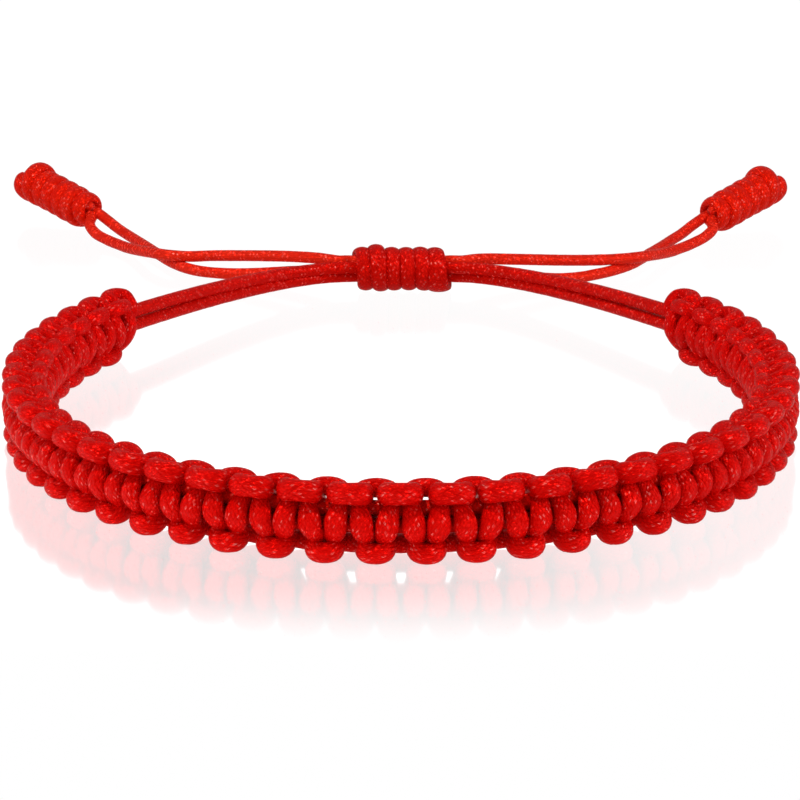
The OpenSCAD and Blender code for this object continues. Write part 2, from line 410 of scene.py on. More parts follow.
def grown(name: str, tree: Tree, values: dict[str, object],
          points: list[Point] | None = None) -> bpy.types.Object:
    """Runs a shape tree and keeps its result as a plain mesh.

    Args:
        name: The piece's name.
        tree: The tree.
        values: Its inputs, by name.
        points: The points of the line that it starts from, where it needs one.

    Returns:
        The piece, with no modifier left on it.
    """
    line = points or [(0.0, 0.0, 0.0)]
    seed_mesh = bpy.data.meshes.new(name + "_line")
    seed_mesh.from_pydata(line, [(i, i + 1) for i in range(len(line) - 1)], [])
    piece = linked(name, seed_mesh)
    modifier = piece.modifiers.new("shape", "NODES")
    modifier.node_group = tree.group
    for item in tree.group.interface.items_tree:
        if item.item_type == "SOCKET" and item.in_out == "INPUT" and item.name in values:
            modifier[item.identifier] = values[item.name]
    piece.update_tag()
    bpy.context.view_layer.update()
    graph = bpy.context.evaluated_depsgraph_get()
    mesh = bpy.data.meshes.new_from_object(piece.evaluated_get(graph), depsgraph=graph)
    mesh.name = name
    piece.modifiers.clear()
    piece.data = mesh
    bpy.data.meshes.remove(seed_mesh)
    return piece


def put_in(piece: bpy.types.Object, node: str) -> None:
    """Makes a piece stand for a CAD node: joins it to the body, hides the node and logs its faces and lowest
    point.

    Args:
        piece: The piece.
        node: The node that it replaces.
    """
    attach(piece, BODY)
    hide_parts(node)
    lowest = min(v.co.z for v in piece.data.vertices) / MM
    faces = len(piece.data.polygons)
    LOG.info("%s: %d faces, for node %s, lowest %.2f mm", piece.name, faces, node, lowest)


class BraidWeave:
    """The shader group for the cover of a braided cord, in two sets of yarns that cross.

    Lengths along the cord are in millimetres, and places round it are shares of a turn.
    """

    DRIFT_LENGTH = 2.6
    DRIFT_TURNS = 0.25
    YARN_ARCH = 0.45
    FRAY_ACROSS = 3.0
    FRAY_ALONG = 0.9
    FRAY_STEP = 40.0
    FRAY_BEND = 2.0
    # The painted highlight goes on crests higher than GLINT_HEIGHT, on yarns whose chance is above
    # GLINT_CHANCE, with GLINT_EDGE for the sharpness of its edge.
    GLINT_HEIGHT = 0.8
    GLINT_CHANCE = 0.72
    GLINT_EDGE = 6.0

    def __init__(self) -> None:
        """Builds the group."""
        self.tree = t = Tree.named("Braid Weave", TreeKind.SHADER)
        yarns = t.take("Yarns Each Way", Socket.NUMBER, 8.0)
        stitch = t.take("Stitch Length", Socket.NUMBER, 0.5)
        twist = t.take("Twist", Socket.NUMBER, 0.01)
        tilt = t.take("Tilt", Socket.NUMBER, 1.0)
        strands = t.take("Filament Bundles", Socket.NUMBER, 3.0)
        seed = t.take("Seed", Socket.NUMBER, 0.0)
        along, around, _ = t.made("ShaderNodeUVMap", uv_map=StrandSkin.MAP).parts()
        around = around + along * twist + t.noise(along / self.DRIFT_LENGTH + seed) * self.DRIFT_TURNS
        left = along / stitch + around * yarns
        right = along / stitch - around * yarns
        left_part, left_cell = left.part(), left.whole()
        right_part, right_cell = right.part(), right.whole()
        odd = ((left_cell + right_cell) * 0.5).part().over(0.25)
        height = odd * self._yarn(right_part, left_part) + (1.0 - odd) * self._yarn(left_part, right_part)
        across = odd * right_part + (1.0 - odd) * left_part
        noise = t.node("ShaderNodeTexWhiteNoise", {"Vector": t.join(left_cell, right_cell, seed)},
                       noise_dimensions="3D")
        chance = t.out(noise, "Value")
        lean, lift, _ = t.out(noise, "Color").parts()
        for slope, place in ((lean, left_part), (lift, right_part)):
            height = height + (slope - 0.5) * (place - 0.5) * tilt
        fray = t.made("ShaderNodeTexNoise", {
            "Vector": t.join(across * self.FRAY_ACROSS + chance * self.FRAY_STEP,
                             (left_part + right_part) * self.FRAY_ALONG, seed),
            "Scale": 1.0, "Detail": 2.0,
        })
        ridge = (across * strands * math.pi + fray * self.FRAY_BEND).sin().size()
        crest = self._limited((ridge * height - self.GLINT_HEIGHT) * self.GLINT_EDGE)
        t.give("Height", Socket.NUMBER, height)
        t.give("Chance", Socket.NUMBER, chance)
        t.give("Fibre", Socket.NUMBER, ridge)
        # This mask marks the few yarn crests that get a pink painted highlight in the finish's colour.
        chosen = self._limited((chance - self.GLINT_CHANCE) * self.GLINT_EDGE)
        t.give("Glint", Socket.NUMBER, crest * chosen)

    def _yarn(self, across: Wire, length: Wire) -> Wire:
        """The height of a yarn that passes over another.

        Args:
            across: The place across the yarn, from 0 to 1.
            length: The place along it in this stitch, from 0 to 1.

        Returns:
            A height from 0 to 1.
        """
        crown = across * (1.0 - across) * 4.0
        arch = length * (1.0 - length) * 4.0
        return crown * (arch * self.YARN_ARCH + (1.0 - self.YARN_ARCH))

    @staticmethod
    def _limited(value: Wire) -> Wire:
        """A number kept between 0 and 1."""
        return value.most(0.0).least(1.0)


@dataclass(frozen=True)
class BraidedNylon:
    """A finish: the shiny braided cover of a nylon cord.

    Its lengths are in millimetres. The tone, the shine and the roughness change from yarn to yarn. The tone
    also carries painted shade, darker in the weave's hollows and lighter on its crowns, and a few yarns,
    where their filaments stand highest, get a pink painted highlight in their colour and more metal.
    """

    name: str
    weave: BraidWeave
    yarns: float = 14.0
    stitch: float = 0.42
    twist: float = 0.012
    tilt: float = 1.7
    bundles: float = 3.0
    seed: float = 0.0
    deep: Point = (0.6, 0.0002, 0.0001)
    bright: Point = (0.8, 0.0018, 0.0005)
    # The pink painted highlight, mixed into the colour on the masked yarn crests.
    glint: Point = (1.0, 0.32, 0.3)
    tone: float = 0.44
    # Painted shade: how much darker the weave's hollows are than its crowns.
    painted_shade_by_height: float = 0.16
    tone_by_chance: float = 0.35
    metallic: float = 0.38
    glint_metallic: float = 0.75
    specular: float = 0.12
    tint: Point = (1.0, 0.4, 0.32)
    smooth: float = 0.09
    rough: float = 0.34
    relief: float = 0.06
    fibre_relief: float = 0.022

    def make(self) -> bpy.types.Material:
        """Builds the material.

        Returns:
            The material.
        """
        material = bpy.data.materials.new(self.name)
        material.use_nodes = True
        t = Tree(material.node_tree)
        weave = t.node("ShaderNodeGroup", {
            "Yarns Each Way": self.yarns, "Stitch Length": self.stitch, "Twist": self.twist,
            "Tilt": self.tilt, "Filament Bundles": self.bundles, "Seed": self.seed,
        }, node_tree=self.weave.tree.group)
        height, chance, fibre, glint = (
            t.out(weave, name) for name in ("Height", "Chance", "Fibre", "Glint")
        )
        # The tone is a random tone per yarn plus painted shade by the weave's height: darker in the hollows
        # between yarns, lighter on their crowns.
        tone = chance * self.tone_by_chance + (height * self.painted_shade_by_height + self.tone)
        bump = t.made("ShaderNodeBump", {
            "Strength": 1.0, "Distance": self.relief * MM,
            "Height": fibre * (self.fibre_relief / self.relief) + height,
        })
        shader = t.nodes["Principled BSDF"]
        # The colour is painted: painted shade in the weave, and the pink painted highlight on the masked
        # crests.
        for name, value in (
            ("Base Color", t.blend(glint, t.blend(tone, self.deep, self.bright), self.glint)),
            ("Metallic", glint * (self.glint_metallic - self.metallic) + self.metallic),
            ("Roughness", chance * (self.rough - self.smooth) + self.smooth),
            ("Specular IOR Level", self.specular), ("Specular Tint", (*self.tint, 1.0)), ("Normal", bump),
        ):
            t.feed(shader.inputs[name], value)
        return material


@dataclass
class Oval:
    """The oval that the middle of the band follows, half of it on each side of the front."""

    half_width: float = 30.8 * MM
    half_depth: float = 34 * MM
    egg: float = 0.6 * MM
    steps: int = 720
    _table: list[tuple[float, float]] = field(default_factory=list)

    def __post_init__(self) -> None:
        """Measures the oval from its front."""
        length = 0.0
        for i in range(self.steps + 1):
            t = math.pi * i / self.steps
            if i:
                length += (self.at(t) - self.at(t - math.pi / self.steps)).length
            self._table.append((length, t))

    def at(self, t: float) -> Vector:
        """The point at an angle from the front."""
        return Vector((self.half_width * math.sin(t),
                       -self.half_depth * math.cos(t) + self.egg * (math.cos(2 * t) - 1), 0))

    def angle(self, s: float) -> float:
        """The angle at a length from the front.

        Args:
            s: The length, below 0 on the left.

        Returns:
            The angle, below 0 on the left.
        """
        size = abs(s)
        low = next(i for i in range(self.steps) if self._table[i + 1][0] >= size)
        (from_s, from_t), (to_s, to_t) = self._table[low], self._table[low + 1]
        return math.copysign(from_t + (to_t - from_t) * (size - from_s) / (to_s - from_s), s)

    def point(self, s: float, height: float) -> Vector:
        """A point on the oval at a length from the front and at a height."""
        return self.at(self.angle(s)) + Vector((0, 0, height))


@dataclass(frozen=True)
class KnottingSizes:
    """The sizes of one knotting cord, which are the front cord's where none are given.

    The cord turns round the core once for each knot. It is pulled tight by a share at its lower and its
    upper loops, and the back cord is turned the other way.
    """

    pitch: float = 3.56 * MM
    middle_height: float = 2.889 * MM
    loop_height: float = 2.12 * MM
    lower_flare: float = 0.085 * MM
    upper_flare: float = 0.05 * MM
    upper_rise: float = -0.02 * MM
    loop_run: float = 1.02 * MM
    loop_gather: float = 0.24 * MM
    lower_pull: float = 0.04
    upper_pull: float = 0.2
    bar_out: float = 1.46 * MM
    shoulder_in: float = 0.1 * MM
    loop_in: float = 1.0 * MM
    bar_half_width: float = 0.82 * MM
    bar_half_thickness: float = 0.56 * MM
    shoulder_half_width: float = 0.57 * MM
    shoulder_half_thickness: float = 0.6 * MM
    loop_half_width: float = 0.72 * MM
    turned: float = 1.0
    turn: float = math.radians(39 * 180 + 62)
    seed: float = 4.0


class KnottingCord:
    """The tree that ties one knotting cord straight and bends it round the oval."""

    RINGS_PER_TURN = 72
    SIDES = 20
    END_ROUND = 0.6 * MM
    UNEVENNESS = 0.05
    TUCK_TURN = math.radians(50)
    TUCK_SHARE = 0.7
    SWAYS = ((1.1, 0.0), (1.0, 9.1), (1.3, 4.7))
    SEED_STEP = 31.7
    ALONG_SWAY = 0.34 * MM
    HEIGHT_SWAY = 0.06
    OUT_SWAY = 0.16 * MM

    def __init__(self, skin: StrandSkin, oval: Oval) -> None:
        """Builds the tree.

        Args:
            skin: The group that covers a path.
            oval: The oval that the band follows.
        """
        self.oval = oval
        self.tree = t = Tree.named("Knotting Cord", TreeKind.SHAPE)
        t.take("Geometry", Socket.SHAPE)
        self.size = size = t.sizes(KnottingSizes)
        rings = t.take("Rings", Socket.COUNT, 100)
        sides = t.take("Sides", Socket.COUNT, 16)
        centre = t.take("Centre", Socket.VECTOR)
        half_oval = self._half_oval()

        phi = (t.made("GeometryNodeInputIndex") / (rings - 1.0) * 2.0 - 1.0) * size.turn
        straight = t.place(t.line(rings), self._path(phi))
        path, kept = t.keep(t.made("GeometryNodeMeshToCurve", {"Mesh": straight}), {"phi": phi})
        wide, thin = self._axes(kept["phi"])
        tube = skin.cover(t, path, {
            "Wide Axis": wide, "Thin Axis": thin,
            "Half Width": self._between(phi, size.loop_half_width, size.shoulder_half_width,
                                        size.bar_half_width),
            "Half Thickness": self._between(phi, size.loop_half_width, size.shoulder_half_thickness,
                                            size.bar_half_thickness),
            "End Rounding": self.END_ROUND, "Sides": sides, "Unevenness": self.UNEVENNESS, "Seed": size.seed,
        })
        t.hand_over(t.place(tube, centre + self._bent(half_oval)))

    def tie(self, name: str, sizes: KnottingSizes, finish: bpy.types.Material) -> bpy.types.Object:
        """Makes one cord.

        Args:
            name: The piece's name.
            sizes: Its sizes.
            finish: Its material.

        Returns:
            The piece.
        """
        return grown(name, self.tree, {
            **by_title(sizes), "Rings": round(2 * sizes.turn / TURN * self.RINGS_PER_TURN),
            "Sides": self.SIDES, "Half Oval Width": self.oval.half_width,
            "Half Oval Depth": self.oval.half_depth, "Egg": self.oval.egg, "Centre": OVAL_CENTRE,
            "Material": finish,
        })

    @staticmethod
    def _between(phi: Wire, loop: Wire, shoulder: Wire, bar: Wire) -> Wire:
        """A value that passes smoothly from loop to shoulder to bar as the cord goes round.

        Args:
            phi: The angle round the core, 0 at a lower loop.
            loop: The value at an edge loop.
            shoulder: The value between loop and bar.
            bar: The value at a bar.

        Returns:
            The value at phi.
        """
        mean = (bar + loop) * 0.25
        return mean + shoulder * 0.5 + (loop - bar) * 0.5 * (phi * 2.0).cos() \
            + (mean - shoulder * 0.5) * (phi * 4.0).cos()

    def _path(self, phi: Wire) -> Wire:
        """The middle of the cord in a straight band, with a hand's unevenness.

        Args:
            phi: The angle round the core.

        Returns:
            The place along the band, the height and the distance out.
        """
        t, size = self.tree, self.size
        step = phi / math.pi
        swayed_along, swayed_up, swayed_out = (
            t.wobble(step * rate + (size.seed * self.SEED_STEP + start)) for rate, start in self.SWAYS
        )
        low = size.turned * phi.cos() * 0.5 + 0.5
        high = 1.0 - low
        pulled = 1.0 - size.lower_pull * low - size.upper_pull * high
        along = size.pitch * phi / TURN + size.loop_run * pulled * (phi * 2.0).sin() \
            + size.loop_gather * (phi * 4.0).sin() + swayed_along * self.ALONG_SWAY
        flare = size.lower_flare * low + size.upper_flare * high
        height = flare * (phi * 3.0).cos() \
            - (size.loop_height + flare) * phi.cos() * (1.0 + swayed_up * self.HEIGHT_SWAY)
        out = self._between(phi, -size.loop_in, -size.shoulder_in, size.bar_out) + swayed_out * self.OUT_SWAY
        tuck = (1.0 - (size.turn - phi.size()) / self.TUCK_TURN).most(0.0)
        kept = (1.0 - tuck * tuck * self.TUCK_SHARE) * size.turned
        return t.join(along, height * kept + size.upper_rise * high, out * kept)

    def _axes(self, phi: Wire) -> tuple[Wire, Wire]:
        """The two axes of the cord's section.

        Args:
            phi: The angle round the core.

        Returns:
            The wide axis and the thin axis.
        """
        t, size = self.tree, self.size
        swing = (size.bar_out + size.loop_in) * 0.5
        square = (size.bar_out - size.loop_in) * 0.25 + size.shoulder_in * 0.5
        even = (phi * 2.0).cos()
        up = (swing * 4.0 - square * 16.0 * even) * phi.cos()
        out = size.lower_flare * 3.0 * (even * 2.0 + 1.0) - size.loop_height - size.lower_flare
        thin = t.join(0.0, up * size.turned, out * size.turned).unit()
        return thin.cross(t.made("GeometryNodeInputTangent")).unit(), thin

    def _half_oval(self) -> Wire:
        """The right half of the oval, as a curve that starts at the front."""
        t = self.tree
        width, depth, egg = (
            t.take(name, Socket.NUMBER, 0.0) for name in ("Half Oval Width", "Half Oval Depth", "Egg")
        )
        angle = t.made("GeometryNodeInputIndex") * (math.pi / self.oval.steps)
        y = egg * ((angle * 2.0).cos() - 1.0) - depth * angle.cos()
        oval = t.place(t.line(self.oval.steps + 1), t.join(width * angle.sin(), y))
        return t.made("GeometryNodeMeshToCurve", {"Mesh": oval})

    def _bent(self, half_oval: Wire) -> Wire:
        """The place on the oval of each point of a straight band.

        Args:
            half_oval: The right half of the oval.

        Returns:
            The place, from the oval's centre.
        """
        t = self.tree
        along, height, out = t.position().parts()
        sample = t.node("GeometryNodeSampleCurve", {"Curves": half_oval, "Length": along.size()},
                        mode="LENGTH")
        x, y, _ = t.out(sample, "Position").parts()
        run_x, run_y, _ = t.out(sample, "Tangent").parts()
        return t.join(along.sign() * (x + out * run_y), y - out * run_x, height + self.size.middle_height)


@dataclass
class KnottedBand:
    """The band: two knotting cords tied in square knots round the core."""

    cord: KnottingCord
    finish: bpy.types.Material
    knots: int = 40
    front: KnottingSizes = KnottingSizes()
    back: KnottingSizes = KnottingSizes(
        loop_height=2.17 * MM, upper_flare=0.17 * MM, upper_rise=0.17 * MM, lower_pull=0.72, upper_pull=0.43,
        loop_in=1.2 * MM, shoulder_half_width=0.64 * MM, shoulder_half_thickness=0.84 * MM,
        loop_half_width=0.79 * MM, turned=-1.0, turn=math.radians(40 * 180 + 80), seed=2.0)

    @property
    def length(self) -> float:
        """The length of the knotted part along the oval."""
        return self.knots * self.front.pitch

    def build(self) -> None:
        """Makes both knotting cords."""
        for which, sizes in (("front", self.front), ("back", self.back)):
            node = f"knotting_cord_{which}"
            put_in(self.cord.tie(node + "_braid", sizes, self.finish), node)


class RoundCord:
    """The tree for a round cord that follows a line of points smoothly."""

    SPACING = 0.22 * MM
    END_ROUND = 0.3 * MM
    UNEVENNESS = 0.035
    SIDES = 16
    STEPS_BETWEEN_POINTS = 16

    def __init__(self, skin: StrandSkin) -> None:
        """Builds the tree.

        Args:
            skin: The group that covers a path.
        """
        self.tree = t = Tree.named("Round Cord", TreeKind.SHAPE)
        line = t.take("Line", Socket.SHAPE)
        radius = t.take("Radius", Socket.NUMBER, 0.5 * MM)
        spacing = t.take("Ring Spacing", Socket.NUMBER, 0.2 * MM)
        sides = t.take("Sides", Socket.COUNT, 16)
        end_round = t.take("End Rounding", Socket.NUMBER, 0.3 * MM)
        unevenness = t.take("Unevenness", Socket.NUMBER, 0.04)
        seed = t.take("Seed", Socket.NUMBER, 0.0)
        curve = t.made("GeometryNodeMeshToCurve", {"Mesh": line})
        curve = t.made("GeometryNodeCurveSplineType", {"Curve": curve}, spline_type="CATMULL_ROM")
        curve = t.made("GeometryNodeSetSplineResolution", {
            "Geometry": curve, "Resolution": self.STEPS_BETWEEN_POINTS,
        })
        curve = t.made("GeometryNodeResampleCurve", {"Curve": curve, "Length": spacing}, mode="LENGTH")
        across = t.made("GeometryNodeInputNormal")
        run = t.made("GeometryNodeInputTangent")
        t.hand_over(skin.cover(t, curve, {
            "Wide Axis": across, "Thin Axis": run.cross(across), "Half Width": radius,
            "Half Thickness": radius, "End Rounding": end_round, "Sides": sides, "Unevenness": unevenness,
            "Seed": seed,
        }))

    def lay(self, name: str, points: list[Vector], radius: float, finish: bpy.types.Material,
            seed: float) -> bpy.types.Object:
        """Makes one cord.

        Args:
            name: The piece's name.
            points: The points that it passes through.
            radius: The cord's radius.
            finish: Its material.
            seed: A number that makes its unevenness its own.

        Returns:
            The piece.
        """
        return grown(name, self.tree, {
            "Radius": radius, "Ring Spacing": self.SPACING, "Sides": self.SIDES,
            "End Rounding": self.END_ROUND, "Unevenness": self.UNEVENNESS, "Seed": seed, "Material": finish,
        }, [tuple(p) for p in points])


@dataclass(frozen=True)
class WrapSizes:
    """The sizes of one wrapped knot, along its own X axis, with a turn that stands out and a slack one."""

    start: float
    pitch: float
    first_turn: float
    last_turn: float
    radius: float
    half_width: float
    half_thickness: float
    raised_turn: float
    raised_by: float
    slack_turn: float
    slack_by: float
    slack_widening: float = 0.0
    top_shift: float = 0.0
    end_tuck: float = 0.9 * MM
    unevenness: float = 0.14 * MM


class Coil:
    """The tree for a flattened cord that is wound round a bundle, with its ends tucked in."""

    RINGS_PER_TURN = 48
    SIDES = 20
    END_ROUND = 0.5 * MM
    UNEVENNESS = 0.06
    TUCKS_PER_TURN = 4.0
    SWELLS_PER_TURN = 3.0
    RADIUS_RATE, RADIUS_STEP = 1.7, 13.0
    ALONG_RATE, ALONG_STEP = 1.3, 7.0
    ALONG_SHARE = 1.5

    def __init__(self, skin: StrandSkin) -> None:
        """Builds the tree.

        Args:
            skin: The group that covers a path.
        """
        self.tree = t = Tree.named("Wrapping Cord", TreeKind.SHAPE)
        t.take("Geometry", Socket.SHAPE)
        size = t.sizes(WrapSizes)
        wound = t.take("Wound", Socket.NUMBER, 0.0)
        seed = t.take("Seed", Socket.NUMBER, 0.0)
        rings = t.take("Rings", Socket.COUNT, 200)
        sides = t.take("Sides", Socket.COUNT, 16)
        place = t.take("Place", Socket.VECTOR)
        turned = t.take("Turned", Socket.VECTOR)

        share = t.made("GeometryNodeInputIndex") / (rings - 1.0)
        turn = size.first_turn + share * (size.last_turn - size.first_turn)
        to_end = (turn - size.first_turn).least(size.last_turn - turn)
        tuck = (1.0 - to_end * self.TUCKS_PER_TURN).most(0.0)
        tucked = tuck * tuck * size.end_tuck
        slack = self._swell(turn, size.slack_turn)
        angle = turn * TURN
        lift = -wound * angle.sin()
        drop = -angle.cos()
        radius = size.radius + self._swell(turn, size.raised_turn) * size.raised_by + slack * size.slack_by \
            - tucked + t.wobble(turn * self.RADIUS_RATE + seed * self.RADIUS_STEP) * size.unevenness
        sway = t.wobble(turn * self.ALONG_RATE + seed * self.ALONG_STEP) * self.ALONG_SHARE
        along = size.start + turn * size.pitch + (drop + 1.0) * 0.5 * size.top_shift \
            + tucked * (0.5 - share) + sway * size.unevenness
        line = t.place(t.line(rings), t.join(along, lift * radius, drop * radius))
        path, kept = t.keep(t.made("GeometryNodeMeshToCurve", {"Mesh": line}), {
            "thin": t.join(0.0, lift, drop), "wider": slack * size.slack_widening + 1.0,
        })
        run = t.made("GeometryNodeInputTangent")
        tube = skin.cover(t, path, {
            "Wide Axis": kept["thin"].cross(run).unit(), "Thin Axis": kept["thin"],
            "Half Width": size.half_width * kept["wider"], "Half Thickness": size.half_thickness,
            "End Rounding": self.END_ROUND, "Sides": sides, "Unevenness": self.UNEVENNESS, "Seed": seed,
        })
        t.hand_over(t.made("GeometryNodeTransform", {
            "Geometry": tube, "Translation": place, "Rotation": turned,
        }))

    def _swell(self, turn: Wire, where: Wire) -> Wire:
        """How much of a bulge there is at a turn: 1 where it is fullest, and 0 well away from there."""
        off = (turn - where) * self.SWELLS_PER_TURN
        return (off * off + 1.0).power(-2.0)

    def wind(self, name: str, sizes: WrapSizes, finish: bpy.types.Material, place: Vector, turned: Vector,
             wound: Direction, seed: float) -> bpy.types.Object:
        """Makes the wraps of one knot.

        Args:
            name: The piece's name.
            sizes: The knot's sizes.
            finish: The material.
            place: Where its start goes.
            turned: How it is turned, in radians about X, Y and Z.
            wound: The way it is wound.
            seed: A number that makes its unevenness its own.

        Returns:
            The piece.
        """
        return grown(name, self.tree, {
            **by_title(sizes), "Wound": float(wound.value), "Seed": seed, "Sides": self.SIDES,
            "Rings": round((sizes.last_turn - sizes.first_turn) * self.RINGS_PER_TURN),
            "Place": place, "Turned": turned, "Material": finish,
        })


@dataclass
class SlideKnot:
    """The wrapped knot that slides on the four cords, and the bundle inside it."""

    coil: Coil
    finish: bpy.types.Material
    y: float = 41.8 * MM
    height: float = 2.3 * MM
    length: float = 9.6 * MM
    core_spacing: float = 1.06 * MM
    bundle_lean: float = math.radians(25)
    wrap: WrapSizes = WrapSizes(
        start=1.4 * MM, pitch=1.44 * MM, first_turn=-0.85, last_turn=5.3, radius=1.7 * MM,
        half_width=0.8 * MM, half_thickness=0.47 * MM, raised_turn=0.6, raised_by=0.34 * MM, slack_turn=5.0,
        slack_by=0.14 * MM, slack_widening=0.5, top_shift=0.36 * MM, unevenness=0.2 * MM)
    seed: float = 2.0

    @property
    def bundle_radius(self) -> float:
        """The distance of each of the four cords from the knot's axis."""
        return self.core_spacing / math.sqrt(2)

    def upper_angle(self) -> float:
        """The place of the upper core cord at the right mouth, as an angle about the knot's axis."""
        return math.radians(135) + self.bundle_lean

    def lower_angle(self) -> float:
        """The place of the lower core cord at the right mouth."""
        return math.radians(225) + self.bundle_lean

    def bundle_point(self, x: float, angle: float) -> Vector:
        """A point of a cord in the bundle, which makes half a turn on its way through.

        Args:
            x: The place along the knot.
            angle: Where the cord enters.

        Returns:
            The point, from the oval's centre.
        """
        here = angle + math.pi / 2 * (x / (self.length / 2) + 1)
        return Vector((x, self.y + self.bundle_radius * math.cos(here),
                       self.height + self.bundle_radius * math.sin(here)))

    def inside(self, side: Direction, depth: float, angle: float) -> Vector:
        """A point of a tail that is still in the bundle.

        Args:
            side: The side on which the tail comes out.
            depth: How far in from the mouth the point is.
            angle: The tail's place in the bundle at the mouth.

        Returns:
            The point, from the oval's centre.
        """
        entered = angle if side is Direction.LEFT else angle - math.pi
        return self.bundle_point(side.value * (self.length / 2 - depth), entered)

    def build(self) -> None:
        """Makes the wraps."""
        place = OVAL_CENTRE + Vector((-self.length / 2, self.y, self.height))
        piece = self.coil.wind("slide_knot_wraps", self.wrap, self.finish, place, Vector((0, 0, 0)),
                               Direction.LEFT, self.seed)
        put_in(piece, "slide_knot")


@dataclass
class CoreCords:
    """The two core cords, from one mouth of the slide knot round the band to the other."""

    cord: RoundCord
    oval: Oval
    band: KnottedBand
    knot: SlideKnot
    finish: bpy.types.Material
    radius: float = 0.6 * MM
    raised: tuple[float, float] = (0.36 * MM, 0.16 * MM)
    lead: float = 1.4 * MM
    pull_band: float = 6 * MM
    pull_knot: float = 7 * MM
    free_steps: int = 8
    bundle_steps: int = 8
    hidden_end: float = 1.6 * MM
    step: float = 4 * MM

    def _free(self, side: Direction, height: float, angle: float) -> list[Vector]:
        """The free stretch from the end of the band to a mouth of the knot.

        Args:
            side: The side of the bracelet.
            height: The cord's height at the band.
            angle: Its place in the bundle.

        Returns:
            The points, from the band to the knot.
        """
        end = self.band.length / 2 + self.lead
        start = self.oval.point(side.value * end, height)
        run = (self.oval.point(side.value * (end + MM), height) - start).normalized()
        mouth = self.knot.bundle_point(-self.knot.length / 2, angle)
        stop = Vector((-side.value * mouth.x, mouth.y, mouth.z))
        points = []
        for i in range(1, self.free_steps + 1):
            u = i / (self.free_steps + 1)
            points.append((1 - u) ** 3 * start + 3 * u * (1 - u) ** 2 * (start + run * self.pull_band)
                          + 3 * u * u * (1 - u) * (stop + Vector((side.value * self.pull_knot, 0, 0)))
                          + u ** 3 * stop)
        return points

    def route(self, offset: float, angle: float) -> list[Vector]:
        """The whole route of one core cord.

        Args:
            offset: Its height above the middle of the band.
            angle: Its place in the bundle.

        Returns:
            The points, in the object's frame.
        """
        height = self.band.front.middle_height + offset
        half = self.knot.length / 2
        end = self.band.length / 2 + self.lead
        run = self.knot.length - self.hidden_end
        bundle = range(self.bundle_steps + 1)
        through = [half - self.hidden_end - i * run / self.bundle_steps for i in bundle]
        steps = round(2 * end / self.step)
        route = [
            *(self.knot.bundle_point(x, angle) for x in through),
            *reversed(self._free(Direction.LEFT, height, angle)),
            *(self.oval.point(-end + 2 * end * i / steps, height) for i in range(steps + 1)),
            *self._free(Direction.RIGHT, height, angle),
            *(self.knot.bundle_point(-x, angle + math.pi) for x in reversed(through)),
        ]
        return [p + OVAL_CENTRE for p in route]

    def build(self) -> None:
        """Makes both core cords."""
        half = self.knot.core_spacing / 2
        for name, offset, angle, seed in (
            ("core_cord_upper", half + self.raised[0], self.knot.upper_angle(), 5.0),
            ("core_cord_lower", -half + self.raised[1], self.knot.lower_angle(), 6.0),
        ):
            route = self.route(offset, angle)
            put_in(self.cord.lay(name + "_braid", route, self.radius, self.finish, seed), name)


